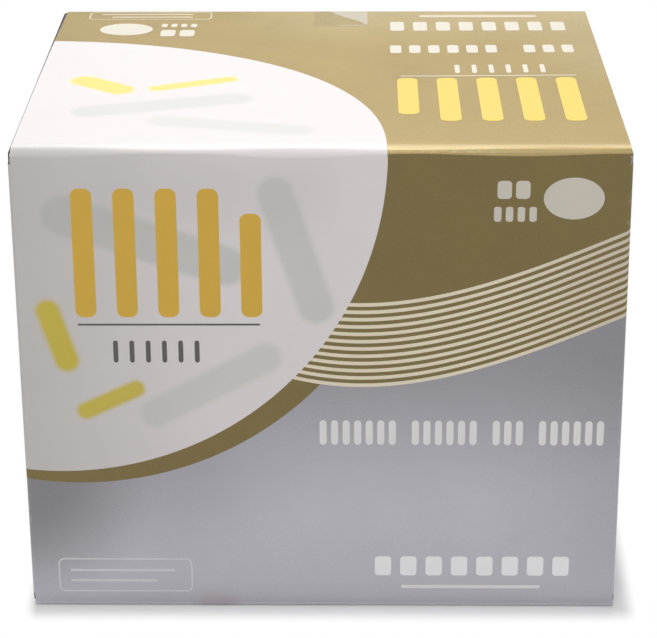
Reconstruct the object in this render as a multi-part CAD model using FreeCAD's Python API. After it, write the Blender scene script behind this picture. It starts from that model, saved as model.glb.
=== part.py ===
import FreeCAD, Part
import math
import os

# A filled and closed tuck-end carton of printed folding card, with its seal tape.
# Millimetres. +X is the reader's right, +Y runs from the front panel to the back panel, +Z is up.
# The origin is the middle of the footprint, on the surface that the carton stands on.

# Outside size of the closed carton
carton_width = 125.0
carton_depth = 100.0
carton_height = 104.0

# The card and its creases: each radius is the outside of a bend
card = 0.45
upright_crease = 0.9
closure_crease = 1.2
dust_flap_crease = 0.9
tuck_crease = 1.1

# Cut edges of the lid and base panels, measured in from the side panels' faces
lid_inset_left = 0.5
lid_inset_right = 0.3
base_inset_left = 0.4
base_inset_right = 0.4

# How far round its bend a turned-in flap shows before the panel that covers it
crease_seen = math.radians(72.0)

# The tuck at the back of the lid and of the base
tuck_gap = 0.15
back_edge_drop = 0.7
tuck_groove = 1.6

# The glued seam on the upright corner at the left of the back panel
seam_inset = 0.55

# The slits that part the closure panels from the dust flaps run on a little way into the front corners
relief_width_left = 0.45
relief_width_right = 0.3
relief_length = 2.6
relief_depth = 1.5

# Clear seal tape over the lid's back edge
tape_width = 12.7
tape_thickness = 0.06
tape_centre = 3.2
tape_on_lid = 13.5
tape_on_back = 24.0

half_width = carton_width / 2.0
half_depth = carton_depth / 2.0

# The lid's far crease starts here, inside the back panel
tuck_face = half_depth - card - tuck_gap


class Outline:
    """A closed outline of straight runs and bends in one plane, followed point by point."""

    def __init__(self, place, start):
        self.place = place
        self.first = start
        self.at = start
        self.edges = []

    def line(self, across, along):
        self.line_to((self.at[0] + across, self.at[1] + along))

    def line_to(self, end):
        if math.dist(self.at, end) > 1e-9:
            self.edges.append(Part.makeLine(self.place(*self.at), self.place(*end)))
        self.at = end

    def bend(self, centre, turn):
        """Turns about the centre by an angle in radians, positive from the first axis to the second."""
        radius = math.hypot(self.at[0] - centre[0], self.at[1] - centre[1])
        begin = math.atan2(self.at[1] - centre[1], self.at[0] - centre[0])
        middle = on_circle(centre, radius, begin + turn / 2.0)
        end = on_circle(centre, radius, begin + turn)
        arc = Part.Arc(self.place(*self.at), self.place(*middle), self.place(*end))
        self.edges.append(arc.toShape())
        self.at = end

    def close(self):
        self.line_to(self.first)
        return Part.Face(Part.Wire(self.edges))


def on_circle(centre, radius, angle):
    return (centre[0] + radius * math.cos(angle), centre[1] + radius * math.sin(angle))


def in_plan(x, y):
    return FreeCAD.Vector(x, y, 0.0)


def seen_from_front(x, z):
    return FreeCAD.Vector(x, -half_depth, z)


def seen_from_side(y, z):
    return FreeCAD.Vector(-half_width, y, z)


def sleeve():
    """The four upright panels in plan: three creased corners and the glued seam at the fourth."""
    quarter = math.pi / 2.0
    r = upright_crease
    plan = Outline(in_plan, (-half_width + r, -half_depth))
    plan.line_to((half_width - r, -half_depth))
    plan.bend((half_width - r, -half_depth + r), quarter)
    plan.line_to((half_width, half_depth - r))
    plan.bend((half_width - r, half_depth - r), quarter)
    plan.line_to((-half_width + seam_inset, half_depth))
    plan.line(0.0, -card)
    flap_centre = (-half_width + r, half_depth - card - r)
    flap_edge = on_circle(flap_centre, r, math.pi - crease_seen)
    plan.line_to((flap_edge[0], half_depth - card))
    plan.line_to(flap_edge)
    plan.bend(flap_centre, crease_seen)
    plan.line_to((-half_width, -half_depth + r))
    plan.bend((-half_width + r, -half_depth + r), quarter)
    return plan.close().extrude(FreeCAD.Vector(0.0, 0.0, carton_height))


def closures_over_dust_flaps():
    """The front outline: lid and base lie over the dust flaps that turn in from the side panels."""
    r = dust_flap_crease
    low = card + r
    high = carton_height - card - r

    def bend_start(side, height, direction):
        """The last point of a flap's bend that shows, on the left (-1) or right (1), going up or down."""
        centre = (side * (half_width - r), height)
        angle = math.atan2(direction * math.sin(crease_seen), side * math.cos(crease_seen))
        return centre, on_circle(centre, r, angle)

    front = Outline(seen_from_front, (-half_width + base_inset_left, 0.0))
    front.line_to((half_width - base_inset_right, 0.0))
    front.line(0.0, card)
    centre, edge = bend_start(1, low, -1)
    front.line_to((edge[0], card))
    front.line_to(edge)
    front.bend(centre, crease_seen)
    front.line_to((half_width, high))
    centre, edge = bend_start(1, high, 1)
    front.bend(centre, crease_seen)
    front.line_to((edge[0], carton_height - card))
    front.line_to((half_width - lid_inset_right, carton_height - card))
    front.line(0.0, card)
    front.line_to((-half_width + lid_inset_left, carton_height))
    front.line(0.0, -card)
    centre, edge = bend_start(-1, high, 1)
    front.line_to((edge[0], carton_height - card))
    front.line_to(edge)
    front.bend(centre, crease_seen)
    front.line_to((-half_width, low))
    centre, edge = bend_start(-1, low, -1)
    front.bend(centre, crease_seen)
    front.line_to((edge[0], card))
    front.line_to((-half_width + base_inset_left, card))
    return front.close().extrude(FreeCAD.Vector(0.0, carton_depth, 0.0))


def front_panel_with_tucked_closures():
    """The side outline: front panel, lid and base are one strip, tucked in behind the back panel."""
    quarter = math.pi / 2.0
    r = closure_crease
    t = tuck_crease
    groove = back_edge_drop + tuck_groove
    side = Outline(seen_from_side, (-half_depth, r))
    side.bend((-half_depth + r, r), quarter)
    side.line_to((tuck_face - t, 0.0))
    side.bend((tuck_face - t, t), quarter)
    side.line_to((tuck_face, groove))
    side.line(tuck_gap, 0.0)
    side.line_to((half_depth - card, back_edge_drop))
    side.line(card, 0.0)
    side.line_to((half_depth, carton_height - back_edge_drop))
    side.line(-card, 0.0)
    side.line_to((half_depth - card, carton_height - groove))
    side.line(-tuck_gap, 0.0)
    side.line_to((tuck_face, carton_height - t))
    side.bend((tuck_face - t, carton_height - t), quarter)
    side.line_to((-half_depth + r, carton_height))
    side.bend((-half_depth + r, carton_height - r), quarter)
    return side.close().extrude(FreeCAD.Vector(carton_width, 0.0, 0.0))


def relief_slits():
    """The die cut between closure and dust flap goes on a little way into each front corner crease."""
    length = card + relief_length
    at_left = (-half_width, relief_width_left)
    at_right = (half_width - relief_width_right, relief_width_right)
    slits = []
    for left, width in (at_left, at_right):
        for bottom in (0.0, carton_height - length):
            corner = FreeCAD.Vector(left, -half_depth, bottom)
            slits.append(Part.makeBox(width, relief_depth, length, corner))
    return slits


def carton():
    """One folded and filled pack: its three outlines meet in one solid, and the slits are cut out."""
    closed = sleeve().common(closures_over_dust_flaps()).common(front_panel_with_tucked_closures())
    return closed.cut(relief_slits()).removeSplitter()


def tangent_angle(centre, radius, point):
    """The angle on the circle at which a taut strip, laid clockwise over it, leaves it for the point."""
    across = point[0] - centre[0]
    along = point[1] - centre[1]
    away = math.hypot(across, along)
    return math.atan2(along, across) + math.acos(radius / away)


def seal_tape():
    """Tape from the lid over the tuck crease, taut to the back panel's cut edge, and down the back."""
    crease_centre = (tuck_face - tuck_crease, carton_height - tuck_crease)
    cut_edge = (half_depth, carton_height - back_edge_drop)
    leave = tangent_angle(crease_centre, tuck_crease, cut_edge)
    over_crease = math.pi / 2.0 - leave

    side = Outline(seen_from_side, (half_depth - tape_on_lid, carton_height))
    side.line_to((crease_centre[0], carton_height))
    side.bend(crease_centre, -over_crease)
    side.line_to(cut_edge)
    side.line_to((half_depth, carton_height - tape_on_back))
    side.line(tape_thickness, 0.0)
    side.line_to((half_depth + tape_thickness, cut_edge[1]))
    side.bend(cut_edge, leave)
    side.line_to(on_circle(crease_centre, tuck_crease + tape_thickness, leave))
    side.bend(crease_centre, over_crease)
    side.line_to((half_depth - tape_on_lid, carton_height + tape_thickness))
    tape = side.close().extrude(FreeCAD.Vector(tape_width, 0.0, 0.0))
    tape.translate(FreeCAD.Vector(half_width + tape_centre - tape_width / 2.0, 0.0, 0.0))
    return tape


parts = {"carton": carton(), "seal_tape": seal_tape()}

os.makedirs("parts", exist_ok=True)
for name, shape in parts.items():
    print(name, "valid:", shape.isValid(), "solids:", len(shape.Solids), "volume:", round(shape.Volume, 1))
    shape.exportStep("parts/" + name + ".step")
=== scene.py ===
"""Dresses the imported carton: creased card, ink films, clear seal tape, floor, lamps and camera."""

import math

import bmesh
import bpy
from bpy.props import FloatProperty, FloatVectorProperty, IntProperty, PointerProperty
from mathutils import Matrix, Vector
from mathutils.geometry import delaunay_2d_cdt


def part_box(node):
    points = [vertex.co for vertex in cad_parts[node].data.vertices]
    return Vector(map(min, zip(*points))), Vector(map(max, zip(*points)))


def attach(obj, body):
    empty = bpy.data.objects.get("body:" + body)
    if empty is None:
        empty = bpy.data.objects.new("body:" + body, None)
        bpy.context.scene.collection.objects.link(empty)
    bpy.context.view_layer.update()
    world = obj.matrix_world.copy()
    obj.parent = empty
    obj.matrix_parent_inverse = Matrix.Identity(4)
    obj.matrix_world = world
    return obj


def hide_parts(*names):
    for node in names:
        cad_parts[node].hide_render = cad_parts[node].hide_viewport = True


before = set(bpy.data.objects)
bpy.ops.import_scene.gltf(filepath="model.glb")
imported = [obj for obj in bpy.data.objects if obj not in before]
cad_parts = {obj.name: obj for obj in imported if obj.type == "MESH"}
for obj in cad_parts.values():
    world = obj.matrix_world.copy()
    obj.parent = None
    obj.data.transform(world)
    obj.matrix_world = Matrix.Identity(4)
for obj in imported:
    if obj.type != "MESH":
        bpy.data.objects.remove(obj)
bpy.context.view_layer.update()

bl_info = {
    "name": "Needle Carton",
    "version": (1, 0, 0),
    "blender": (4, 5, 0),
    "location": "View3D > Sidebar > Carton",
    "description": "Folds, prints and seals a carton of hypodermic needles round its CAD solid",
    "category": "Object",
}

MM = 0.001

# The closed carton, in millimetres, as the CAD solid has it
LOW, HIGH = (Vector(corner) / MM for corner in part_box("carton"))
HALF_WIDTH = (HIGH.x - LOW.x) / 2.0
HALF_DEPTH = (HIGH.y - LOW.y) / 2.0
HEIGHT = HIGH.z - LOW.z
WIDTH = 2.0 * HALF_WIDTH
DEPTH = 2.0 * HALF_DEPTH
CARD = 0.45
UPRIGHT_BEND = 0.9
FOLD_BEND = 1.2
FLAP_BEND = 0.9
TUCK_BEND = 1.1
TUCK_GAP = 0.15
FLAP_BEND_SEEN = math.radians(72.0)
TUCK_BEND_SEEN = math.radians(80.0)

# The blank lies flat as (across, down): across from the front panel's left edge, down from its
# top fold. The lid is above the fold, and the side panels are left of 0 and right of the width.
LID_LEFT = 0.54
LID_RIGHT = WIDTH - 0.34
SLIT_DOWN = 3.12
SLIT_BACK = 1.56
FLAP_TOP = CARD + FLAP_BEND - FLAP_BEND * math.radians(20.0)
TUCK_BEND_START = DEPTH - CARD - TUCK_GAP - TUCK_BEND
LID_END = -(TUCK_BEND_START + TUCK_BEND * TUCK_BEND_SEEN)

# Every surface is cut along lines this far apart, so that card and ink settle alike. A line runs
# close beside each bend too, and the grid keeps clear of it.
CELL = 4.0
BEND_CUTS = 12
BESIDE_BEND = 0.3
CLEAR_OF_BEND = 0.4

# Board gives way beside a crease: the lid and the front panel fall off over these lengths
LID_SHOULDER = 6.0
FRONT_SHOULDER = 4.2
SHOULDER_CUTS = (1.9, 2.3, 2.8, 3.4, 4.6)

# A panel's slow waves, by their length over a full turn, and how near its edges it starts to sink
LONG_WAVES = (7.9, 10.3)
CROSS_WAVES = (15.0, 12.5)
CROSS_SHARE = 0.6
EDGE_HOLD = 12

# The rubbed top fold reaches back unevenly, and down by a share of that. Only the card's outer
# layers move.
FOLD_ZONE = 4.0
FOLD_UNEVEN = 0.2
DROP_SHARE = 0.62
DROP_UNEVEN = 0.3
LEAST_DROP = 0.45
RUBBED_CARD = 0.7

# The lid's left edge stands in beyond this share of the half width
LID_EDGE = 0.96

# Nearer to a face than this is on it. In a mesh, nearer points than MERGE, in metres, are one,
# faces that turn less than FLAT_WITHIN are one, and edges that turn more than SHARP stay sharp.
TOUCH = 0.01
MERGE = 1e-7
FLAT_WITHIN = math.radians(0.4)
SHARP = math.radians(28.0)

# Points of an outline nearer than SAME_POINT are one, and so are cuts that meet nearer than JOIN.
# A cut runs a little past the outline.
SAME_POINT = 1e-4
JOIN = 1e-5
OVERRUN = 0.1

# Tops of the ink films above the card
INK_FOOT = 0.004
FIELD_INK = 0.018
STRIPE_INK = 0.026
WHITE_INK = 0.034
MARK_INK = 0.042


# ---- the flat blank and its folds


def down_the_fold(down):
    """A point's depth behind the front plane, its height, and how far the sheet has turned."""
    if down >= FOLD_BEND:
        return 0.0, HEIGHT - down, 0.0
    if down > -FOLD_BEND:
        turn = (FOLD_BEND - down) / (2.0 * FOLD_BEND) * math.pi / 2.0
        depth = FOLD_BEND * (1.0 - math.cos(turn))
        return depth, HEIGHT - FOLD_BEND * (1.0 - math.sin(turn)), turn
    if -down <= TUCK_BEND_START:
        return -down, HEIGHT, math.pi / 2.0
    turn = (-down - TUCK_BEND_START) / TUCK_BEND
    depth = TUCK_BEND_START + TUCK_BEND * math.sin(turn)
    return depth, HEIGHT - TUCK_BEND * (1.0 - math.cos(turn)), math.pi / 2.0 + turn


def on_blank(across, down):
    """Where a point of the flat blank is on the closed carton, and which way is out there."""
    side = 1.0 if across > HALF_WIDTH else -1.0
    past = abs(across - HALF_WIDTH) - HALF_WIDTH
    if down < FOLD_BEND and past < SLIT_BACK - TOUCH or past <= -UPRIGHT_BEND:
        depth, height, turn = down_the_fold(down)
        place = Vector((across - HALF_WIDTH, depth - HALF_DEPTH, height))
        return place, Vector((0.0, -math.cos(turn), math.sin(turn)))
    height = HEIGHT - down
    if past < UPRIGHT_BEND:
        turn = (past + UPRIGHT_BEND) / (2.0 * UPRIGHT_BEND) * math.pi / 2.0
        out = HALF_WIDTH - UPRIGHT_BEND * (1.0 - math.sin(turn))
        depth = UPRIGHT_BEND * (1.0 - math.cos(turn))
        place = Vector((side * out, depth - HALF_DEPTH, height))
        return place, Vector((side * math.sin(turn), -math.cos(turn), 0.0))
    out = HALF_WIDTH
    turn = 0.0
    bend_start = HEIGHT - CARD - FLAP_BEND
    if height > bend_start:
        turn = (height - bend_start) / FLAP_BEND
        out = HALF_WIDTH - FLAP_BEND * (1.0 - math.cos(turn))
        height = bend_start + FLAP_BEND * math.sin(turn)
    place = Vector((side * out, past - HALF_DEPTH, height))
    return place, Vector((side * math.cos(turn), 0.0, math.sin(turn)))


def rounder_fold(front, top, back, drop):
    """Depths behind the front and below the top, once the fold reaches this far back and down."""
    if front < FOLD_BEND and top < FOLD_BEND:
        turn = math.atan2(FOLD_BEND - top, FOLD_BEND - front)
        down = FOLD_BEND - 4.0 * FOLD_BEND * turn / math.pi
        depth = FOLD_BEND - math.hypot(FOLD_BEND - top, FOLD_BEND - front)
    elif top < front:
        down = -front
        depth = top
    else:
        down = top
        depth = front
    moved = min(1.0, max(0.0, (FOLD_BEND - depth) / RUBBED_CARD))
    if down >= drop:
        new_front, new_top = depth, down
    elif down <= -back:
        new_front, new_top = -down, depth
    else:
        turn = (drop - down) / (drop + back) * math.pi / 2.0
        new_front = back - (back - depth) * math.cos(turn)
        new_top = drop - (drop - depth) * math.sin(turn)
    return front + (new_front - front) * moved, top + (new_top - top) * moved


def settled(point, form):
    """A packed carton's panels sink a little between their creases, in slow waves. Millimetres."""
    a = point.x / HALF_WIDTH
    b = point.y / HALF_DEPTH
    c = 2.0 * point.z / HEIGHT - 1.0
    across, along, up = ((1.0 - t * t) ** 2 for t in (a, b, c))
    hollow = form.hollow / MM
    ripple = form.ripple / MM

    def wave(p, q, phase):
        slow = math.sin(p / LONG_WAVES[0] + phase) * math.sin(q / LONG_WAVES[1] + 2.0 * phase)
        cross = math.sin(p / CROSS_WAVES[0] - q / CROSS_WAVES[1] + 3.0 * phase)
        return ripple * (slow + CROSS_SHARE * cross)

    sink_x = along * up * (0.8 * hollow + wave(point.y, point.z, 0.9 + 0.4 * a))
    sink_y = across * up * (hollow + wave(point.x, point.z, 0.4 + 0.7 * b))
    sink_z = across * along * (1.2 * hollow + wave(point.x, point.y, 1.7))
    if c < 0.0:
        sink_z = across * along * 0.5 * hollow
    from_front = point.y + HALF_DEPTH
    from_top = HEIGHT - point.z
    if c > 0.0:
        sink_z += form.lid_shoulder / MM * max(0.0, 1.0 - from_front / LID_SHOULDER) ** 3
        if b < 0.0:
            sink_y += form.front_shoulder / MM * max(0.0, 1.0 - from_top / FRONT_SHOULDER) ** 3
    sinks = zip((a, b, c), (sink_x, sink_y, sink_z))
    inward = Vector([-math.copysign(abs(t) ** EDGE_HOLD * sink, t) for t, sink in sinks])
    if from_front < FOLD_ZONE and from_top < FOLD_ZONE:
        uneven = 0.7 * math.sin(point.x / 7.5 + 2.4) + 0.3 * math.sin(point.x / 13.1 + 1.3)
        back = form.fold_round / MM * (1.0 + FOLD_UNEVEN * uneven)
        drop = back * max(LEAST_DROP, DROP_SHARE + DROP_UNEVEN * uneven)
        front, top = rounder_fold(from_front, from_top, back, drop)
        inward.y += front - from_front
        inward.z -= top - from_top
    if from_top < CARD + TOUCH and a < -LID_EDGE:
        # The lid's left edge stands in, and curls away to a wider gap at the back
        stand = form.gap / MM + form.askew / MM * ((1.0 + b) / 2.0) ** 4
        inward.x += stand * (-a - LID_EDGE) / (1.0 - LID_EDGE)
    inward.x -= form.lean / MM * max(0.0, a) * (1.0 + b) / 2.0
    room = form.ink_room / MM
    fit = Vector((1.0 - room / HALF_WIDTH, 1.0 - room / HALF_DEPTH, 1.0 - room / HEIGHT))
    return (point + inward) * fit


def grid_lines(low, high, offset):
    """The grid's lines between two values."""
    first = math.ceil((low - offset) / CELL)
    last = math.floor((high - offset) / CELL)
    return [offset + CELL * k for k in range(first, last + 1)]


def bend_lines(middle, radius):
    steps = [middle - radius + 2.0 * radius * k / BEND_CUTS for k in range(BEND_CUTS + 1)]
    return [middle - radius - BESIDE_BEND, *steps, middle + radius + BESIDE_BEND]


def lines_across(low, high):
    """Where the blank is cut by lines that run down it."""
    clear = UPRIGHT_BEND + CLEAR_OF_BEND
    folds = bend_lines(0.0, UPRIGHT_BEND) + bend_lines(WIDTH, UPRIGHT_BEND)
    left = grid_lines(low, min(high, -clear), -HALF_DEPTH)
    front = grid_lines(max(low, clear), min(high, WIDTH - clear), HALF_WIDTH)
    right = grid_lines(max(low, WIDTH + clear), high, WIDTH + HALF_DEPTH)
    return left + front + right + [value for value in folds if low < value < high]


def lines_down(low, high):
    """Where the blank is cut by lines that run across it."""
    clear = FOLD_BEND + CLEAR_OF_BEND
    flap = [CARD + FLAP_BEND - FLAP_BEND * FLAP_BEND_SEEN * k / 10.0 for k in range(10)]
    turns = [math.pi / 2.0 * k / BEND_CUTS for k in range(BEND_CUTS)]
    tuck = [-TUCK_BEND_START - TUCK_BEND * turn for turn in turns]
    folds = bend_lines(0.0, FOLD_BEND) + flap + tuck + [BESIDE_BEND - TUCK_BEND_START]
    folds += [side * value for value in SHOULDER_CUTS for side in (-1.0, 1.0)]
    lid = grid_lines(low, min(high, -clear), -HALF_DEPTH)
    panels = grid_lines(max(low, clear), high, 0.0)
    return lid + panels + [value for value in folds if low < value < high]


def ink_film(name, outlines, top, form, holes=()):
    """A closed film of ink: laid out on the blank, cut along grid and folds, and folded."""
    loops = [*outlines, *holes]
    corners = [Vector(point) for outline in loops for point in outline]
    faces = []
    at = 0
    for outline in loops:
        faces.append(list(range(at, at + len(outline))))
        at += len(outline)
    edges = []
    for outline in outlines:
        xs, ys = zip(*outline)
        left, right, upper, lower = min(xs), max(xs), min(ys), max(ys)
        runs = [((x, upper - OVERRUN), (x, lower + OVERRUN)) for x in lines_across(left, right)]
        runs += [((left - OVERRUN, y), (right + OVERRUN, y)) for y in lines_down(upper, lower)]
        for run in runs:
            edges.append((len(corners), len(corners) + 1))
            corners += [Vector(point) for point in run]
    points, _, cells, _, _, owners = delaunay_2d_cdt(corners, edges, faces, 0, JOIN)
    solid = len(outlines)
    kept = [
        cell
        for cell, owner in zip(cells, owners)
        if owner and all(face < solid for face in owner)
    ]

    bm = bmesh.new()
    upper_verts = {}
    lower_verts = {}
    for cell in kept:
        for index in cell:
            if index not in upper_verts:
                place, out = on_blank(*points[index])
                upper_verts[index] = bm.verts.new(settled(place + out * top, form) * MM)
                lower_verts[index] = bm.verts.new(settled(place + out * INK_FOOT, form) * MM)
    directed = {}
    for cell in kept:
        # With down as the second axis, the blank's turns run backwards
        loop = list(reversed(cell))
        area = sum(
            points[p].x * points[q].y - points[q].x * points[p].y
            for p, q in zip(loop, loop[1:] + loop[:1])
        )
        if area > 0.0:
            loop.reverse()
        bm.faces.new([upper_verts[index] for index in loop]).smooth = True
        bm.faces.new([lower_verts[index] for index in reversed(loop)]).smooth = True
        for pair in zip(loop, loop[1:] + loop[:1]):
            directed[pair] = True
    for p, q in directed:
        if (q, p) not in directed:
            bm.faces.new((upper_verts[q], upper_verts[p], lower_verts[p], lower_verts[q]))
            for layer in (upper_verts, lower_verts):
                bm.edges.get((layer[p], layer[q])).smooth = False
    return as_object(name, bm)


def as_object(name, bm):
    mesh = bpy.data.meshes.new(name)
    bm.to_mesh(mesh)
    bm.free()
    made = bpy.data.objects.new(name, mesh)
    bpy.context.scene.collection.objects.link(made)
    return made


def print_ink(name, outlines, material, form, top=MARK_INK, holes=()):
    """Ink belongs to the card: it rides with it and takes its finish."""
    film = ink_film(name, outlines, top, form, holes)
    film.data.materials.append(material)
    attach(film, "root")


# ---- outlines on the blank


def ellipse_run(centre, radii, start, end, steps):
    """Points on an ellipse, by angles in degrees: 0 is to the right and 90 is down."""
    turns = [math.radians(start + (end - start) * k / steps) for k in range(steps + 1)]
    return [
        (centre[0] + radii[0] * math.cos(turn), centre[1] + radii[1] * math.sin(turn))
        for turn in turns
    ]


def rounded(left, right, upper, lower, radius, steps=6):
    """A rectangle with round corners."""
    radius = min(radius, (right - left) / 2.0, (lower - upper) / 2.0)
    right, lower, left, upper = right - radius, lower - radius, left + radius, upper + radius
    outline = []
    for k, centre in enumerate(((right, lower), (left, lower), (left, upper), (right, upper))):
        for point in ellipse_run(centre, (radius, radius), 90.0 * k, 90.0 * (k + 1), steps):
            if not outline or math.dist(point, outline[-1]) > SAME_POINT:
                outline.append(point)
    if math.dist(outline[0], outline[-1]) < SAME_POINT:
        outline.pop()
    return outline


def bar(left, right, middle, height):
    return rounded(left, right, middle - height / 2.0, middle + height / 2.0, height / 2.0)


def oval(x, y, half_width, half_height, steps=40):
    return ellipse_run((x, y), (half_width, half_height), 0.0, 360.0, steps)[:-1]


# The white and the gold fields are rounds on the front. On the lid the white one is squarer.
WHITE_CENTRE = (7.9, 0.5)
WHITE_RADII = (68.15, 71.0)
GOLD_CENTRE = (11.73, 0.0)
GOLD_RADII = (70.07, 74.21)
LID_WHITE_CENTRE = -6.65
LID_WHITE_RADII = (82.58, 74.7)
LID_WHITE_POWER = 2.236
LID_WHITE_STEPS = 60
CRESCENT_END = 131.0

# Past the front slit, the side panel's print keeps to the dust flap's crease from this far on, and
# nearer the slit the crease's painted shade shows
SLIT_GAPE = 3.2


def white_outline():
    """One quarter-round field that crosses the top fold and the front's left crease."""
    lid = []
    reach = LID_WHITE_CENTRE + LID_WHITE_RADII[0]
    for k in range(LID_WHITE_STEPS + 1):
        turn = math.pi / 2.0 * k / LID_WHITE_STEPS
        across = LID_LEFT + (reach - LID_LEFT) * math.sin(turn)
        share = (abs(across - LID_WHITE_CENTRE) / LID_WHITE_RADII[0]) ** LID_WHITE_POWER
        up = LID_WHITE_RADII[1] * max(0.0, 1.0 - share) ** (1.0 / LID_WHITE_POWER)
        lid.append((across, -up))
    front = ellipse_run(WHITE_CENTRE, WHITE_RADII, 1.0, 179.3, 150)
    gape = SLIT_BACK + SLIT_GAPE
    left = [
        (WHITE_CENTRE[0] - WHITE_RADII[0], FLAP_TOP),
        (-gape, FLAP_TOP),
        (-gape + 0.4, FLAP_TOP + 0.8),
        (-SLIT_BACK, FLAP_TOP + 0.9),
        (-SLIT_BACK, SLIT_DOWN),
        (LID_LEFT, SLIT_DOWN),
    ]
    return lid + front + left


STRIPES = 12
STRIPE_PITCH = 1.64
STRIPE_HALF = 0.4
STRIPE_RISE = 0.445
STRIPE_CURVE = (5.04818405e-05, -0.0189129115, 1.91703819, -25.2600979)
BAR_CORNER = 1.6


def top_stripe(across):
    """The top stripe's middle: a slow curve on the front, and straight round the side."""
    if across > WIDTH:
        return top_stripe(WIDTH) - STRIPE_RISE * (across - WIDTH)
    down = 0.0
    for part in STRIPE_CURVE:
        down = down * across + part
    return down


def stripe_line(number, offset, start, end, step=2.0):
    count = max(2, round((end - start) / step))
    places = [start + (end - start) * k / count for k in range(count + 1)]
    return [(across, top_stripe(across) + number * STRIPE_PITCH + offset) for across in places]


def reach_of(number, offset):
    """Where a stripe's edge meets the top of the right side panel."""
    down = top_stripe(WIDTH) + number * STRIPE_PITCH + offset
    return WIDTH + (down - FLAP_TOP) / STRIPE_RISE


def stripe_meets(number, centre, radii, across):
    """Where a stripe, followed to the left from here, meets a round field, and at which angle."""
    while True:
        down = top_stripe(across) + number * STRIPE_PITCH
        x = (across - centre[0]) / radii[0]
        y = (down - centre[1]) / radii[1]
        if x * x + y * y < 1.0:
            return across, math.degrees(math.atan2(y, x))
        across -= 0.1


def stripe_outline(number):
    """A stripe starts a little way under the white field."""
    start = stripe_meets(number, WHITE_CENTRE, WHITE_RADII, 80.0)[0] - 1.5
    upper = stripe_line(number, -STRIPE_HALF, start, reach_of(number, -STRIPE_HALF))
    lower = stripe_line(number, STRIPE_HALF, start, reach_of(number, STRIPE_HALF))
    return upper + lower[::-1]


def gold_outline():
    """Gold on the lid and above the stripes, and as a crescent below the white field."""
    last = STRIPES - 1
    meet, angle = stripe_meets(last, GOLD_CENTRE, GOLD_RADII, 75.0)
    crescent = ellipse_run(GOLD_CENTRE, GOLD_RADII, angle, CRESCENT_END, 70)
    under_white = [(-36.0, 45.0), (LID_LEFT, 45.0)]
    lid = [(LID_LEFT, LID_END), (LID_RIGHT, LID_END), (LID_RIGHT, SLIT_DOWN)]
    side = [
        (WIDTH + SLIT_BACK, SLIT_DOWN),
        (WIDTH + SLIT_BACK, FLAP_TOP),
        (reach_of(last, 0.0), FLAP_TOP),
    ]
    edge = stripe_line(last, 0.0, meet, reach_of(last, 0.0))[::-1]
    return lid + side + edge[1:] + crescent[1:] + under_white


def upright_bars(left, pitch, width, spans):
    """A row of plain upright bars, one for each pair of upper and lower ends."""
    bars = []
    for k, (upper, lower) in enumerate(spans):
        x = left + pitch * k
        bars.append(rounded(x, x + width, upper, lower, BAR_CORNER))
    return bars


def ticks(left, right, middle, height, width, groups, radius=9.0):
    """A line of plain upright ticks or blocks in groups, spread from left to right."""
    places = sum(groups) + len(groups) - 1
    pitch = (right - left - width) / (places - 1)
    upper, lower = middle - height / 2.0, middle + height / 2.0
    outlines = []
    at = 0
    for count in groups:
        for k in range(at, at + count):
            x = left + pitch * k
            outlines.append(rounded(x, x + width, upper, lower, radius, 3))
        at += count + 1
    return outlines


# ---- shader nodes

NUMBER = "NodeSocketFloat"
VECTOR = "NodeSocketVector"
COLOUR = "NodeSocketColor"
WHITE = (1.0, 1.0, 1.0, 1.0)
BARE_BOARD = (0.78, 0.76, 0.72, 1.0)


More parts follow.
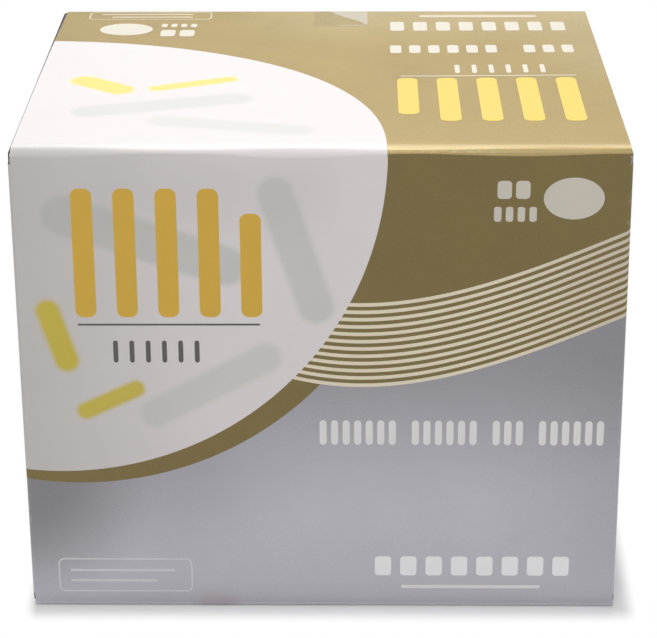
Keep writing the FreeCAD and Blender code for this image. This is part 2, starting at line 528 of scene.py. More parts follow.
class Nodes:
    """Adds nodes to a tree and joins them."""

    def __init__(self, tree):
        self.tree = tree

    def feed(self, sockets, values):
        """Joins each value to its socket, or sets it there."""
        for name, value in values.items():
            if isinstance(value, bpy.types.NodeSocket):
                self.tree.links.new(value, sockets[name])
            else:
                sockets[name].default_value = value

    def add(self, kind, inputs=None, **settings):
        node = self.tree.nodes.new(kind)
        for name, value in settings.items():
            setattr(node, name, value)
        self.feed(node.inputs, inputs or {})
        return node.outputs

    def group(self, name, build, inputs=None):
        """A node group, which is built the first time that it is asked for."""
        if name not in bpy.data.node_groups:
            build(name)
        return self.add("ShaderNodeGroup", inputs, node_tree=bpy.data.node_groups[name])

    def maths(self, operation, a, b=0.0, clamp=False):
        return self.add("ShaderNodeMath", {0: a, 1: b}, operation=operation, use_clamp=clamp)[0]

    def plus(self, a, b):
        return self.maths("ADD", a, b)

    def minus(self, a, b):
        return self.maths("SUBTRACT", a, b)

    def times(self, a, b):
        return self.maths("MULTIPLY", a, b)

    def vectors(self, operation, a, b=(0.0, 0.0, 0.0)):
        """A vector, or a number where the operation gives one."""
        made = self.add("ShaderNodeVectorMath", {0: a, 1: b}, operation=operation)
        return made["Value" if operation in ("DOT_PRODUCT", "DISTANCE", "LENGTH") else "Vector"]

    def scaled(self, vector, factor):
        inputs = {0: vector, "Scale": factor}
        return self.add("ShaderNodeVectorMath", inputs, operation="SCALE")["Vector"]

    def parts(self, vector):
        return self.add("ShaderNodeSeparateXYZ", {0: vector})

    def mixed(self, factor, a, b):
        return self.add("ShaderNodeMix", {0: factor, 6: a, 7: b}, data_type="RGBA")[2]

    def ramp(self, value, low, high, to_low=0.0, to_high=1.0, smooth=False):
        inputs = {0: value, 1: low, 2: high, 3: to_low, 4: to_high}
        kind = "SMOOTHSTEP" if smooth else "LINEAR"
        return self.add("ShaderNodeMapRange", inputs, interpolation_type=kind)[0]

    def noise(self, place, scale, detail=2.0, roughness=0.5):
        inputs = {"Vector": place, "Scale": scale, "Detail": detail, "Roughness": roughness}
        return self.add("ShaderNodeTexNoise", inputs)["Fac"]

    def place(self):
        return self.add("ShaderNodeTexCoord")["Object"]

    def stretched(self, place, scale):
        return self.add("ShaderNodeMapping", {"Vector": place, "Scale": scale})[0]

    def bump(self, strength, distance, height):
        inputs = {"Strength": strength, "Distance": distance, "Height": height}
        return self.add("ShaderNodeBump", inputs)["Normal"]


def new_group(name, inputs, outputs):
    """A shader node group: its inputs with their defaults, and its outputs with their kinds."""
    tree = bpy.data.node_groups.new(name, "ShaderNodeTree")
    for label, default in inputs.items():
        kind = NUMBER if isinstance(default, float) else {3: VECTOR, 4: COLOUR}[len(default)]
        socket = tree.interface.new_socket(name=label, in_out="INPUT", socket_type=kind)
        socket.default_value = default
    for label, kind in outputs.items():
        tree.interface.new_socket(name=label, in_out="OUTPUT", socket_type=kind)
    given = tree.nodes.new("NodeGroupInput").outputs
    return Nodes(tree), given, tree.nodes.new("NodeGroupOutput").inputs


def build_press_grain(name):
    """Metal flakes and slow mottling in a printed colour, and the gloss that goes with them."""
    inputs = {"Colour": (0.5, 0.5, 0.5, 1.0), "Flake": 0.05, "Mottle": 0.03, "Roughness": 0.4}
    nodes, given, out = new_group(name, inputs, {"Colour": COLOUR, "Roughness": NUMBER})
    place = nodes.place()
    flake = nodes.ramp(nodes.noise(place, 5200.0, 1.0, 0.6), 0.3, 0.7, -1.0, 1.0)
    mottle = nodes.ramp(nodes.noise(place, 90.0, 3.0, 0.55), 0.3, 0.7, -1.0, 1.0)
    bright = nodes.times(flake, given["Flake"])
    slow = nodes.times(mottle, given["Mottle"])
    level = nodes.plus(nodes.plus(bright, slow), 1.0)
    sheen = nodes.minus(given["Roughness"], nodes.times(bright, 0.8))
    sheen = nodes.maths("ADD", sheen, nodes.times(slow, 0.9), clamp=True)
    nodes.feed(out, {"Colour": nodes.scaled(given["Colour"], level), "Roughness": sheen})


def build_crease_wear(name):
    """How much the print is rubbed: along the carton's edges and most at its corners."""
    nodes, given, out = new_group(name, {"Width": 0.0012, "Amount": 0.3}, {"Mask": NUMBER})
    place = nodes.place()
    middle = (0.0, 0.0, HEIGHT / 2.0 * MM)
    half = (HALF_WIDTH * MM, HALF_DEPTH * MM, HEIGHT / 2.0 * MM)
    centred = nodes.vectors("ABSOLUTE", nodes.vectors("SUBTRACT", place, middle))
    x, y, z = nodes.parts(nodes.vectors("SUBTRACT", half, centred))
    least = nodes.maths("MINIMUM", x, y)
    most = nodes.maths("MAXIMUM", x, y)
    to_edge = nodes.maths("MAXIMUM", least, nodes.maths("MINIMUM", most, z))
    near = nodes.ramp(nodes.maths("DIVIDE", to_edge, given["Width"]), 0.0, 1.0, 1.0, 0.0)
    wear_and_painted_light = nodes.ramp(nodes.noise(place, 900.0, 4.0, 0.65), 0.52, 0.68)
    patchy = nodes.ramp(nodes.noise(place, 60.0, 2.0), 0.45, 0.62)
    mask = nodes.times(nodes.times(near, wear_and_painted_light), patchy)
    nodes.feed(out, {"Mask": nodes.maths("MULTIPLY", mask, given["Amount"], clamp=True)})


def build_sheet_relief(name):
    """Height of coated board: fibre under the ink, the coat's orange peel and a slow lie."""
    inputs = {"Fibre": 0.25, "Peel": 0.5, "Lie": 1.0}
    nodes, given, out = new_group(name, inputs, {"Height": NUMBER})
    place = nodes.place()
    fibre = nodes.times(nodes.noise(place, 3200.0, 3.0, 0.6), given["Fibre"])
    peel = nodes.times(nodes.noise(place, 620.0, 2.0), given["Peel"])
    lie = nodes.times(nodes.noise(place, 55.0, 1.0), given["Lie"])
    nodes.feed(out, {"Height": nodes.plus(nodes.plus(fibre, peel), nodes.times(lie, 4.0))})


def build_soft_mark(name):
    """A soft-edged mark with round ends between two points in space."""
    inputs = {
        "From": (0.0, 0.0, 0.0),
        "To": (0.0, 0.0, 0.0),
        "Radius": 0.005,
        "Softness": 0.001,
        "Amount": 0.5,
        "Stretch": (1.0, 1.0, 1.0),
    }
    nodes, given, out = new_group(name, inputs, {"Mask": NUMBER})
    reach = nodes.vectors("SUBTRACT", nodes.place(), given["From"])
    reach = nodes.vectors("MULTIPLY", reach, given["Stretch"])
    run = nodes.vectors("SUBTRACT", given["To"], given["From"])
    along = nodes.vectors("DOT_PRODUCT", reach, run)
    share = nodes.maths("DIVIDE", along, nodes.vectors("DOT_PRODUCT", run, run), clamp=True)
    away = nodes.vectors("DISTANCE", reach, nodes.scaled(run, share))
    past = nodes.maths("DIVIDE", nodes.minus(away, given["Radius"]), given["Softness"])
    mask = nodes.ramp(past, -1.0, 1.0, 1.0, 0.0, smooth=True)
    nodes.feed(out, {"Mask": nodes.times(mask, given["Amount"])})


# ---- materials


def new_material(name):
    """A material, its nodes, and the input sockets of its shader."""
    material = bpy.data.materials.new(name)
    material.use_nodes = True
    tree = material.node_tree
    return material, Nodes(tree), tree.nodes["Principled BSDF"].inputs


def ink(
    name, colour, flake, roughness, metallic, coat, mottle=0.03,
    spots=(), edge=None, shine=0.5, haze=0.09,
):
    """A coated printing ink on card, with soft marks and shades printed in it."""
    material, nodes, shader = new_material(name)
    colour = (*colour, 1.0)
    for values, tint in spots:
        spot = nodes.group("soft_mark", build_soft_mark, values)
        colour = nodes.mixed(spot["Mask"], colour, (*tint, 1.0))
    inputs = {"Colour": colour, "Flake": flake, "Mottle": mottle, "Roughness": roughness}
    grain = nodes.group("press_grain", build_press_grain, inputs)
    rub = nodes.group("crease_wear", build_crease_wear)
    relief = nodes.group("sheet_relief", build_sheet_relief)
    finish = {
        "Base Color": nodes.mixed(rub["Mask"], grain["Colour"], BARE_BOARD),
        "Roughness": grain["Roughness"],
        "Metallic": metallic,
        "Specular IOR Level": shine,
        "Coat Weight": coat,
        "Coat Roughness": haze,
        "Normal": nodes.bump(0.35, 0.00003, relief["Height"]),
    }
    if edge:
        finish["Specular Tint"] = (*edge, 1.0)
    nodes.feed(shader, finish)
    return material


def on_front(across, down):
    return across - HALF_WIDTH, -HALF_DEPTH, HEIGHT - down


def on_lid(across, back):
    return across - HALF_WIDTH, back - HALF_DEPTH, HEIGHT


def soft_marks(place, rows):
    """Marks and broad shades in an ink. A row gives two places on the panel, radius, softness,
    amount and tint, and in which directions it runs out sooner."""
    marks = []
    for a, b, c, d, radius, softness, amount, tint, *stretch in rows:
        values = {
            "From": Vector(place(a, b)) * MM,
            "To": Vector(place(c, d)) * MM,
            "Radius": radius * MM,
            "Softness": softness * MM,
            "Amount": amount,
            "Stretch": stretch[0] if stretch else (1.0, 1.0, 1.0),
        }
        marks.append((values, tint))
    return marks


def silver_painted_light_and_scuff():
    """The silver's painted shade and reflection, darker by its left edge, under the crescent and the
    stripes, at its right edge and at its foot; a painted highlight along the crease at its foot; and
    a faint reddish scuff there.
    """
    painted_shade_tint = (0.165, 0.16, 0.17)
    # Tint of a painted highlight along the crease at the foot
    wear_and_painted_light = (0.88, 0.88, 0.93)
    scuff = (0.37, 0.265, 0.30)
    shallow = (1.0, 6.0, 1.0)
    rows = (
        # Painted shade and reflection: the silver is darker under the crescent, under the stripes,
        # at the right edge and at the foot
        (-12.0, 75.0, -3.0, 73.5, 21.0, 13.0, 0.80, painted_shade_tint, shallow),
        (0.0, 66.0, 32.0, 66.0, 16.0, 16.0, 0.42, painted_shade_tint, shallow),
        (62.0, 40.0, 140.0, 40.0, 21.0, 21.0, 0.66, painted_shade_tint, shallow),
        (140.0, 35.0, 140.0, 80.0, 26.0, 22.0, 0.34, painted_shade_tint, shallow),
        (24.0, 106.0, 96.0, 106.0, 12.0, 12.0, 0.14, painted_shade_tint, shallow),
        # Painted highlight: the crease at the foot is lightened where the lit fold turns dark
        (-5.0, 104.9, 130.0, 104.9, 1.7, 0.6, 0.66, wear_and_painted_light),
        (38.4, 103.0, 41.4, 103.4, 2.7, 2.3, 0.40, scuff),
    )
    return soft_marks(on_front, rows)


def gold_painted_sheen():
    """Painted sheen: the gold is lighter and whiter toward the lid's back edge and its right back
    corner.
    """
    light = (0.30, 0.26, 0.16)
    # Painted sheen: lighter, whiter gold by the lid's back edge and right back corner
    rows = (
        (70.0, 103.0, 130.0, 103.0, 19.0, 19.0, 0.60, light),
        (130.0, 103.0, 130.0, 62.0, 13.0, 13.0, 0.45, light),
    )
    return soft_marks(on_lid, rows)


def white_motif():
    """Faint soft bars, grey-green and yellow, on front and lid, and painted shade in the white:
    darker by the front's left edge and just below the top fold.
    """
    grey = (0.46, 0.48, 0.44)
    yellow = (0.60, 0.475, 0.02)
    bright = (0.846, 0.685, 0.053)
    shade = (0.53, 0.505, 0.49)
    front = (
        # Painted shade: the white is darker by the front's left edge and just below the top fold
        (-5.0, -10.0, -5.0, 80.0, 27.0, 27.0, 0.80, shade, (1.0, 10.0, 1.0)),
        (24.0, 9.0, 56.0, 9.0, 8.0, 7.0, 0.30, shade, (1.0, 6.0, 1.0)),
        (53.5, 9.5, 61.5, 34.0, 3.7, 1.0, 0.46, grey),
        (10.5, 14.0, 43.0, 25.0, 4.3, 1.0, 0.54, grey),
        (28.0, 58.0, 51.0, 45.5, 3.3, 1.0, 0.36, grey),
        (6.5, 35.0, 10.0, 46.0, 2.5, 0.8, 0.92, yellow),
        (13.5, 57.5, 24.0, 52.5, 1.9, 0.7, 0.90, yellow),
    )
    lid = (
        (11.0, 45.0, 19.0, 39.0, 3.2, 0.9, 0.92, bright),
        (27.0, 40.0, 42.0, 46.5, 1.9, 0.8, 0.92, bright),
        (14.0, 24.0, 44.0, 33.0, 3.6, 1.2, 0.34, grey),
        (30.0, 18.0, 58.0, 12.0, 3.2, 1.2, 0.28, grey),
    )
    return soft_marks(on_front, front) + soft_marks(on_lid, lid)


def raw_board(name, colour):
    """Board with pressed layers of fibre: the cut edge of grey-backed board, and in darker colours
    the painted shade inside and on the dust flaps' creases.
    """
    material, nodes, shader = new_material(name)
    place = nodes.place()
    layers = nodes.noise(nodes.stretched(place, (300.0, 300.0, 9000.0)), 1.0, 3.0, 0.6)
    fibre = nodes.noise(place, 4000.0, 3.0, 0.7)
    dark = tuple(0.62 * part for part in colour)
    tone = nodes.ramp(nodes.plus(layers, fibre), 0.7, 1.3)
    finish = {
        "Base Color": nodes.mixed(tone, (*dark, 1.0), (*colour, 1.0)),
        "Roughness": 0.85,
        "Normal": nodes.bump(0.5, 0.00004, fibre),
    }
    nodes.feed(shader, finish)
    return material


def tape_film():
    """Clear polypropylene tape: glossy, with fine lengthwise drawing lines."""
    material, nodes, shader = new_material("clear_seal_tape")
    place = nodes.place()
    lines = nodes.noise(nodes.stretched(place, (800.0, 60.0, 60.0)), 1.0, 2.0, 0.6)
    # Beyond a slanting line that wanders a little, one corner is lighter: tape lifted with air under
    # it, and a painted glare
    x, y, z = nodes.parts(place)
    slant = nodes.plus(nodes.plus(x, nodes.times(y, 0.83)), nodes.times(z, 0.9))
    wander = nodes.times(nodes.noise(place, 260.0, 2.0), 0.0024)
    past = nodes.minus(nodes.plus(slant, wander), 0.1350)
    lifted_and_glare = nodes.ramp(past, -0.0004, 0.0004, smooth=True)
    # The cut end on the lid is painted lighter too, a painted highlight along the cut
    end = nodes.times(nodes.ramp(y, 0.0370, 0.0378, 0.75, 0.0), nodes.ramp(x, 0.0, 0.003))
    lifted_and_glare = nodes.maths("MAXIMUM", lifted_and_glare, end)
    stuck = (0.46, 0.34, 0.06, 1.0)
    lifted_glare_colour = (0.96, 0.89, 0.70, 1.0)
    finish = {
        "Base Color": nodes.mixed(lifted_and_glare, stuck, lifted_glare_colour),
        "Roughness": nodes.ramp(lines, 0.2, 0.8, 0.12, 0.22),
        "Alpha": nodes.ramp(lifted_and_glare, 0.0, 1.0, 0.16, 0.56),
        "Coat Weight": 0.3,
        "Coat Roughness": 0.06,
        "Normal": nodes.bump(0.03, 0.00002, lines),
    }
    nodes.feed(shader, finish)
    return material


# ---- values that a user would change


def colour_value(label, text, default):
    return FloatVectorProperty(
        name=label, description=text, default=default, size=3, min=0.0, max=1.0, subtype="COLOR"
    )


def length_value(label, text, default):
    settings = {"unit": "LENGTH", "subtype": "DISTANCE", "precision": 5}
    return FloatProperty(name=label, description=text, default=default, min=0.0, **settings)


def distances_value(label, text, default):
    return FloatVectorProperty(
        name=label, description=text, default=default, size=3, unit="LENGTH", subtype="XYZ"
    )


def power_value(label, text, default):
    return FloatProperty(name=label, description=text, default=default, unit="POWER")


class CartonForm(bpy.types.PropertyGroup):
    """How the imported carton's panels lie."""

    hollow: length_value("Hollow", "How far a panel sinks in its middle", 0.00022)
    ripple: length_value("Ripple", "Height of the slow waves in a panel", 0.00003)
    fold_round: length_value("Fold", "How far back the rubbed top fold reaches", 0.00176)
    lid_shoulder: length_value("Lid shoulder", "How far the lid falls off at the fold", 0.00034)
    front_shoulder: length_value("Front shoulder", "How far the front does so", 0.00005)
    gap: length_value("Gap", "How far the lid's left edge stands in", 0.00014)
    askew: length_value("Askew", "How much wider that gap is at the back", 0.00085)
    lean: length_value("Lean", "How far the right panel leans in at its back edge", 0.00165)
    ink_room: length_value("Ink room", "How far the card lies inside its nominal size", 0.00006)


class CartonInks(bpy.types.PropertyGroup):
    """The printed colours."""

    silver: colour_value("Silver", "Metallic ground of the panels", (0.455, 0.45, 0.495))
    gold: colour_value("Gold", "Metallic gold of lid and upper front", (0.186, 0.140, 0.053))
    white: colour_value("White", "Field that crosses the fold", (0.774, 0.732, 0.726))
    cream: colour_value("Cream", "Stripes over the gold", (0.77, 0.685, 0.525))
    yellow: colour_value("Yellow", "Upright bars", (0.68, 0.40, 0.017))
    bright: colour_value("Bright", "Upright bars on the lid", (0.78, 0.54, 0.02))
    dark: colour_value("Dark", "Rule and ticks on the white field", (0.075, 0.065, 0.06))
    pale: colour_value("Pale", "Marks on the front panel", (0.78, 0.765, 0.76))
    clear: colour_value("Clear", "Blocks at the foot of the front panel", (0.92, 0.91, 0.92))
    soft: colour_value("Soft", "Marks at the front's upper right", (0.62, 0.575, 0.49))
    warm: colour_value("Warm", "Marks on the lid", (0.66, 0.61, 0.49))
    faint: colour_value("Faint", "Outlined panel on the lid", (0.50, 0.43, 0.28))
    board: colour_value("Board", "Cut edges of the card", (0.46, 0.44, 0.42))


class StudioLight(bpy.types.PropertyGroup):
    """The lamps' levels, and the floor."""

    overhead: power_value("Overhead", "Power of the soft lamp above", 3.3)
    high_back: power_value("High back", "Power of the soft lamp above and behind", 4.25)
    back: power_value("Back", "Power of the soft lamp behind", 4.6)
    front: power_value("Front", "Power of the soft lamp in front", 3.45)
    fill: FloatProperty(
        name="Fill", description="Level of the surrounding light", default=0.232, min=0.0
    )
    shadow_reach: distances_value(
        "Shadow reach", "How far round the carton the floor's shading shows", (0.0038, 0.0074, 1.0)
    )
    footprint: distances_value(
        "Footprint", "Half of the carton's width and depth", (HALF_WIDTH * MM, HALF_DEPTH * MM, 0.0)
    )
    shadow_shift: distances_value(
        "Shadow shift", "How far to the right the floor's shading lies", (0.0015, 0.0, 0.0)
    )
    steps: IntProperty(
        name="Floor steps", description="Squares along each side of the floor", default=24, min=1
    )


def form_of(context):
    return context.scene.carton_form


def inks_of(context):
    return context.scene.carton_inks


# ---- the pieces

AXES = [Vector(row) for row in Matrix.Identity(3)]

# Grid lines that can cross the tape
TAPE_CUTS = range(-13, 27)

# The card's surfaces, in the order of its materials
PRINTED, CUT_EDGE, INSIDE, SHADED = range(4)
# Painted shade: the inside and the front slits are near-black board
INSIDE_PAINTED_SHADE = (0.10, 0.09, 0.085)
# Painted shadow: the tops of the dust flaps' creases beside the lid are near-black board
SHADED_CREASE = (0.05, 0.048, 0.045)


def cad_surface(node):
    """A CAD solid's surface, with its flat faces whole."""
    bm = bmesh.new()
    bm.from_mesh(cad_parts[node].data)
    bmesh.ops.remove_doubles(bm, verts=bm.verts, dist=MERGE)
    bmesh.ops.dissolve_limit(bm, angle_limit=FLAT_WITHIN, verts=bm.verts, edges=bm.edges)
    return bm


def cut_at(bm, normal, place):
    """Cuts the surface by a plane that lies this far along its normal."""
    bmesh.ops.bisect_plane(
        bm,
        geom=bm.verts[:] + bm.edges[:] + bm.faces[:],
        dist=MERGE,
        plane_co=normal * place * MM,
        plane_no=normal,
    )


def settle(bm, form):
    """Makes all but the sharp edges smooth, and moves the surface to where it settled."""
    for face in bm.faces:
        face.smooth = True
    for edge in bm.edges:
        if edge.is_manifold and edge.calc_face_angle() > SHARP:
            edge.smooth = False
    for vert in bm.verts:
        vert.co = settled(vert.co / MM, form) * MM


class CARTON_OT_fold_card(bpy.types.Operator):
    """Folds the board: the CAD carton's surface, cut in cells, that settles between creases."""

    bl_idname = "carton.fold_card"
    bl_label = "Fold the Card"

    def execute(self, context):
        inks = inks_of(context)
        bm = cad_surface("carton")
        spans = (
            (HALF_WIDTH, 0.0, UPRIGHT_BEND),
            (HALF_DEPTH, 0.0, FOLD_BEND),
            (HEIGHT / 2.0, HEIGHT / 2.0, CARD + FLAP_BEND),
        )
        for normal, (half, middle, bend) in zip(AXES, spans):
            count = int(half // CELL)
            places = [CELL * k for k in range(-count, count + 1)]
            places += [side * (half - bend - BESIDE_BEND) for side in (-1.0, 1.0)]
            if normal.x:
                places += [-LID_EDGE * half, -(1.0 + LID_EDGE) / 2.0 * half]
            else:
                side = 1.0 if normal.z else -1.0
                places += [side * (half - value) for value in SHOULDER_CUTS]
            for place in places:
                cut_at(bm, normal, middle + place)
        for face in bm.faces:
            face.material_index = self.kind(face.calc_center_median() / MM, face.normal)
        settle(bm, form_of(context))
        bmesh.ops.triangulate(bm, faces=[face for face in bm.faces if len(face.verts) > 4])
        card = as_object("card", bm)
        silver = ink("silver_ink", inks.silver, 0.05, 0.36, 0.55, 0.5, 0.02, silver_painted_light_and_scuff())
        for material in (
            silver,
            raw_board("cut_board", inks.board),
            raw_board("inner_board", INSIDE_PAINTED_SHADE),
            raw_board("shaded_crease", SHADED_CREASE),
        ):
            card.data.materials.append(material)
        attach(card, "root")
        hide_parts("carton")
        return {"FINISHED"}

    @staticmethod
    def kind(place, normal):
        """Printed, cut edge, inside, or the top of a dust flap's crease in the lid's shadow; the
        last two take dark board as painted shade.
        """
        from_middle = abs(place.z - HEIGHT / 2.0)
        from_side = HALF_WIDTH - abs(place.x)
        square = max(abs(part) for part in normal) > 0.9999
        if not square:
            flap_bend = abs(normal.x) < 0.95 and abs(normal.y) < 0.02
            return SHADED if flap_bend and place.z > HEIGHT / 2.0 else PRINTED
        skin = min(from_side, HALF_DEPTH - abs(place.y), HEIGHT / 2.0 - from_middle)
        if skin < TOUCH:
            return PRINTED
        in_slit = place.y < SLIT_BACK - HALF_DEPTH and from_side < 0.5
        if in_slit and from_middle > HEIGHT / 2.0 - SLIT_DOWN:
            return INSIDE
        return CUT_EDGE if skin < CARD + 0.02 else INSIDE


class CARTON_OT_print_fields(bpy.types.Operator):
    """Lays the large fields: gold on the lid and upper front, and the white round over it."""

    bl_idname = "carton.print_fields"
    bl_label = "Print the Colour Fields"

    def execute(self, context):
        form, inks = form_of(context), inks_of(context)
        rim = (0.85, 0.70, 0.42)
        finish = (0.07, 0.35, 0.63, 0.25, 0.035)
        gold = ink("gold_ink", inks.gold, *finish, gold_painted_sheen(), edge=rim, haze=0.12)
        print_ink("gold_field", [gold_outline()], gold, form, FIELD_INK)
        finish = (0.012, 0.45, 0.0, 0.12, 0.012)
        white = ink("white_ink", inks.white, *finish, white_motif(), shine=0.35)
        print_ink("white_field", [white_outline()], white, form, WHITE_INK)
        return {"FINISHED"}


class CARTON_OT_print_stripes(bpy.types.Operator):
    """Lays the cream stripes that sweep from the white field round onto the right panel."""

    bl_idname = "carton.print_stripes"
    bl_label = "Print the Stripes"

    def execute(self, context):
        outlines = [stripe_outline(number) for number in range(STRIPES)]
        colour = inks_of(context).cream
        # Painted shade: the stripes darken toward the front's right edge
        painted_shade_tint = tuple(0.5 * part for part in colour)
        painted_shade = soft_marks(on_front, [(140.0, 10.0, 140.0, 60.0, 26.0, 21.0, 0.5, painted_shade_tint)])
        cream = ink("cream_ink", colour, 0.03, 0.40, 0.15, 0.3, 0.02, painted_shade)
        print_ink("cream_stripes", outlines, cream, form_of(context), STRIPE_INK)
        return {"FINISHED"}


class CARTON_OT_print_front_marks(bpy.types.Operator):
    """Lays the front's plain marks: bars, rules, ticks, blocks, an oval, an outlined panel."""

    bl_idname = "carton.print_front_marks"
    bl_label = "Print the Front Marks"

    def execute(self, context):
        form, inks = form_of(context), inks_of(context)
        bars = upright_bars(12.2, 8.5, 4.3, [(8.2, 36.3)] * 4 + [(13.6, 36.3)])
        yellow = ink("yellow_ink", inks.yellow, 0.03, 0.40, 0.0, 0.5, 0.02)
        print_ink("yellow_bars_front", bars, yellow, form)
        rule = [bar(12.5, 50.0, 37.95, 0.42), *ticks(19.6, 37.4, 44.0, 5.0, 1.0, (6,))]
        dark = ink("dark_ink", inks.dark, 0.05, 0.42, 0.0, 0.5)
        print_ink("dark_marks_front", rule, dark, form)
        corner = [
            rounded(98.0, 100.9, 6.5, 10.4, 0.8),
            rounded(101.7, 104.6, 6.5, 10.4, 0.8),
            *ticks(97.4, 106.0, 13.7, 3.2, 1.5, (4,), 0.5),
            oval(113.4, 10.3, 6.1, 4.5),
        ]
        soft = ink("soft_ink", inks.soft, 0.02, 0.42, 0.0, 0.4, 0.015)
        print_ink("soft_marks_front", corner, soft, form)
        lines = [*ticks(62.0, 121.3, 62.5, 5.7, 1.5, (7, 6, 3, 6)), bar(79.2, 109.0, 99.0, 0.8)]
        pale = ink("pale_ink", inks.pale, 0.02, 0.42, 0.0, 0.5, 0.015)
        print_ink("pale_marks_front", lines, pale, form)
        blocks = ticks(73.6, 115.0, 94.0, 4.6, 3.5, (8,), 0.7)
        clear = ink("clear_ink", inks.clear, 0.02, 0.42, 0.0, 0.5, 0.015)
        print_ink("blocks_front", blocks, clear, form)
        between = tuple(0.5 * a + 0.5 * b for a, b in zip(inks.pale, inks.silver))
        faint = ink("faint_ink", between, 0.03, 0.4, 0.2, 0.5)
        panel = [rounded(5.8, 34.6, 92.3, 100.4, 1.4)]
        inner = [rounded(6.15, 34.25, 92.65, 100.05, 1.05)]
        print_ink("outlined_panel_front", panel, faint, form, holes=inner)
        lines = [bar(8.4, 30.8, 95.2, 0.6), bar(8.4, 27.0, 97.7, 0.6)]
        print_ink("thin_lines_front", lines, faint, form)
        return {"FINISHED"}


class CARTON_OT_print_lid_marks(bpy.types.Operator):
    """Lays the lid's plain marks, placed for a reader who stands behind the carton."""

    bl_idname = "carton.print_lid_marks"
    bl_label = "Print the Lid Marks"

    def execute(self, context):
        form, inks = form_of(context), inks_of(context)
        bars = upright_bars(78.5, 8.65, 4.4, [(-47.4, -22.5)] + [(-47.4, -18.0)] * 4)
        rim = (1.0, 0.80, 0.30)
        yellow = ink("yellow_ink_lid", inks.bright, 0.03, 0.42, 0.0, 0.0, 0.02, edge=rim)
        print_ink("yellow_bars_lid", bars, yellow, form)
        marks = [
            bar(79.2, 118.0, -48.9, 0.45),
            *ticks(91.4, 111.4, -53.9, 6.0, 1.1, (6,)),
            *ticks(77.2, 119.0, -68.6, 5.8, 2.6, (6, 3), 0.7),
            *ticks(77.4, 118.6, -86.2, 7.0, 3.3, (8,), 0.7),
            oval(16.3, -83.8, 6.1, 4.7),
            rounded(24.4, 27.8, -83.4, -78.4, 0.9),
            rounded(28.8, 32.2, -83.4, -78.4, 0.9),
            *ticks(24.2, 32.4, -87.0, 2.6, 1.4, (4,), 0.5),
        ]
        pale = ink("pale_ink_lid", inks.warm, 0.02, 0.42, 0.0, 0.2, 0.015)
        print_ink("pale_marks_lid", marks, pale, form)
        faint = ink("faint_ink_lid", inks.faint, 0.03, 0.40, 0.2, 0.2)
        panel = [rounded(6.7, 35.4, -97.9, -91.8, 1.4)]
        inner = [rounded(7.05, 35.05, -97.55, -92.15, 1.05)]
        print_ink("outlined_panel_lid", panel, faint, form, holes=inner)
        rows = ((9.4, 31.0, -96.0, 0.8), (12.0, 31.0, -93.8, 0.8), (84.4, 112.6, -94.4, 1.9))
        print_ink("thin_lines_lid", [bar(*row) for row in rows], faint, form)
        return {"FINISHED"}


class CARTON_OT_stick_tape(bpy.types.Operator):
    """Sticks the clear seal tape over the lid's back edge, on the settled card."""

    bl_idname = "carton.stick_tape"
    bl_label = "Stick the Seal Tape"

    def execute(self, context):
        bm = cad_surface("seal_tape")
        for normal in AXES:
            for k in TAPE_CUTS:
                cut_at(bm, normal, CELL * k)
        settle(bm, form_of(context))
        tape = as_object("clear_tape", bm)
        tape.data.materials.append(tape_film())
        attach(tape, "root")
        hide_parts("seal_tape")
        return {"FINISHED"}


# ---- the stage, in metres

LAMP_TARGET = (0.0, 0.0, 0.08)
LAMPS = {
    "high_back": ((-0.02, 0.61, 0.98), 0.28, 0.62),
    "overhead": ((0.0, -0.18, 1.10), 0.36, 0.74),
    "back": ((0.06, 1.33, 0.90), 0.9, 0.35),
    "front": ((0.08, -0.86, 0.74), 0.8, 0.5),
}
FLOOR_SIZE = 2.5

# The camera: yaw, pitch and roll in degrees, and its focal length in the photograph's pixels
CAMERA_PLACE = (0.0101, -0.5136, 0.2659)
CAMERA_TURNS = (-1.06, 23.18, -0.35)
FOCAL_LENGTH = 2466.0
PHOTO_WIDTH = 657.0
SENSOR = 36.0


def soft_lamp(name, place, width, height, power):
    data = bpy.data.lights.new(name, "AREA")
    data.shape = "RECTANGLE"
    data.size = width
    data.size_y = height
    data.energy = power
    lamp = bpy.data.objects.new(name, data)
    bpy.context.scene.collection.objects.link(lamp)
    lamp.location = place
    lamp.rotation_mode = "QUATERNION"
    lamp.rotation_quaternion = (Vector(LAMP_TARGET) - Vector(place)).to_track_quat("-Z", "Y")


def backdrop_rays(nodes):
    """1 for rays that look straight at the backdrop or see it mirrored."""
    path = nodes.add("ShaderNodeLightPath")
    seen = nodes.maths("MAXIMUM", path["Is Camera Ray"], path["Is Glossy Ray"])
    return nodes.maths("MAXIMUM", seen, path["Is Transmission Ray"])


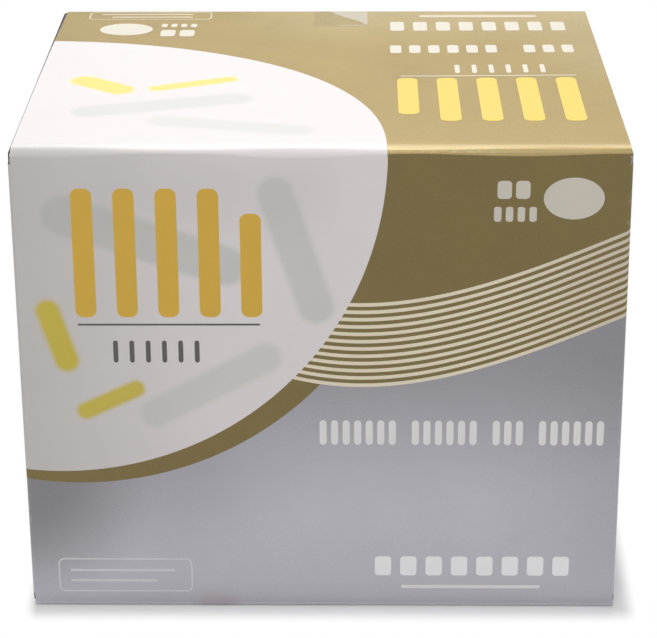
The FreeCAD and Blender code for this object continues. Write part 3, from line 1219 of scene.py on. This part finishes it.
class CARTON_OT_set_studio(bpy.types.Operator):
    """Sets the pale floor, the white surround, the soft lamps and the camera."""

    bl_idname = "carton.set_studio"
    bl_label = "Set the Studio"

    def execute(self, context):
        light = context.scene.carton_light
        self.floor(light)
        self.surround(context.scene, light)
        for name, (place, width, height) in LAMPS.items():
            soft_lamp(name + "_lamp", place, width, height, getattr(light, name))
        self.camera(context.scene)
        context.scene.view_settings.view_transform = "Standard"
        return {"FINISHED"}

    @staticmethod
    def floor(light):
        """Pale paper that shades round the carton and is white to the camera further off."""
        steps = light.steps
        bm = bmesh.new()
        bmesh.ops.create_grid(bm, x_segments=steps, y_segments=steps, size=FLOOR_SIZE)
        floor = as_object("floor", bm)
        material, nodes, shader = new_material("pale_floor")
        tree = material.node_tree
        place = nodes.place()
        paper = nodes.ramp(nodes.noise(place, 140.0, 3.0), 0.2, 0.8, 0.84, 0.87)
        colour = nodes.add("ShaderNodeCombineColor", {0: paper, 1: paper, 2: paper})[0]
        nodes.feed(shader, {"Base Color": colour, "Roughness": 0.9, "Specular IOR Level": 0.1})
        glow = nodes.add("ShaderNodeEmission", {"Color": WHITE, "Strength": 1.0})[0]
        aside = nodes.vectors("SUBTRACT", place, light.shadow_shift)
        reach = nodes.vectors("SUBTRACT", nodes.vectors("ABSOLUTE", aside), light.footprint)
        outside = nodes.vectors("MAXIMUM", reach)
        away = nodes.vectors("LENGTH", nodes.vectors("DIVIDE", outside, light.shadow_reach))
        factor = nodes.times(backdrop_rays(nodes), nodes.ramp(away, 0.0, 1.0, smooth=True))
        lit = tree.nodes["Principled BSDF"].outputs[0]
        mix = nodes.add("ShaderNodeMixShader", {0: factor, 1: lit, 2: glow})[0]
        nodes.feed(tree.nodes["Material Output"].inputs, {"Surface": mix})
        floor.data.materials.append(material)

    @staticmethod
    def surround(scene, light):
        world = bpy.data.worlds.new("white_surround")
        world.use_nodes = True
        scene.world = world
        tree = world.node_tree
        nodes = Nodes(tree)
        dim = tree.nodes["Background"]
        nodes.feed(dim.inputs, {"Color": WHITE, "Strength": light.fill})
        white = nodes.add("ShaderNodeBackground", {"Color": WHITE, "Strength": 1.0})[0]
        inputs = {0: backdrop_rays(nodes), 1: dim.outputs[0], 2: white}
        mix = nodes.add("ShaderNodeMixShader", inputs)[0]
        nodes.feed(tree.nodes["World Output"].inputs, {"Surface": mix})

    @staticmethod
    def camera(scene):
        data = bpy.data.cameras.new("camera")
        data.sensor_width = SENSOR
        data.lens = SENSOR * FOCAL_LENGTH / PHOTO_WIDTH
        data.clip_start = 0.01
        data.clip_end = 20.0
        camera = bpy.data.objects.new("camera", data)
        scene.collection.objects.link(camera)
        yaw, pitch, roll = (math.radians(angle) for angle in CAMERA_TURNS)
        sideways, onward = math.sin(yaw), math.cos(yaw)
        ahead = Vector((sideways * math.cos(pitch), onward * math.cos(pitch), -math.sin(pitch)))
        level = Vector((onward, -sideways, 0.0))
        up = level.cross(ahead)
        right = level * math.cos(roll) + up * math.sin(roll)
        above = up * math.cos(roll) - level * math.sin(roll)
        turn = Matrix((right, above, -ahead)).transposed()
        camera.matrix_world = Matrix.Translation(CAMERA_PLACE) @ turn.to_4x4()
        scene.camera = camera


class CARTON_PT_pieces(bpy.types.Panel):
    """Lists the carton's values and the steps that make it."""

    bl_label = "Needle Carton"
    bl_space_type = "VIEW_3D"
    bl_region_type = "UI"
    bl_category = "Carton"

    def draw(self, context):
        layout = self.layout
        for group in SCENE_VALUES:
            values = getattr(context.scene, group)
            box = layout.box()
            for name in values.__annotations__:
                box.prop(values, name)
        for step in STEPS:
            layout.operator(step.bl_idname)


STEPS = (
    CARTON_OT_fold_card,
    CARTON_OT_print_fields,
    CARTON_OT_print_stripes,
    CARTON_OT_print_front_marks,
    CARTON_OT_print_lid_marks,
    CARTON_OT_stick_tape,
    CARTON_OT_set_studio,
)
SCENE_VALUES = {"carton_form": CartonForm, "carton_inks": CartonInks, "carton_light": StudioLight}
CLASSES = (*SCENE_VALUES.values(), *STEPS, CARTON_PT_pieces)


def register():
    for cls in CLASSES:
        bpy.utils.register_class(cls)
    for name, values in SCENE_VALUES.items():
        setattr(bpy.types.Scene, name, PointerProperty(type=values))


def unregister():
    for name in SCENE_VALUES:
        delattr(bpy.types.Scene, name)
    for cls in reversed(CLASSES):
        bpy.utils.unregister_class(cls)


def main():
    register()
    for step in STEPS:
        area, name = step.bl_idname.split(".")
        getattr(getattr(bpy.ops, area), name)()


if __name__ == "__main__":
    main()
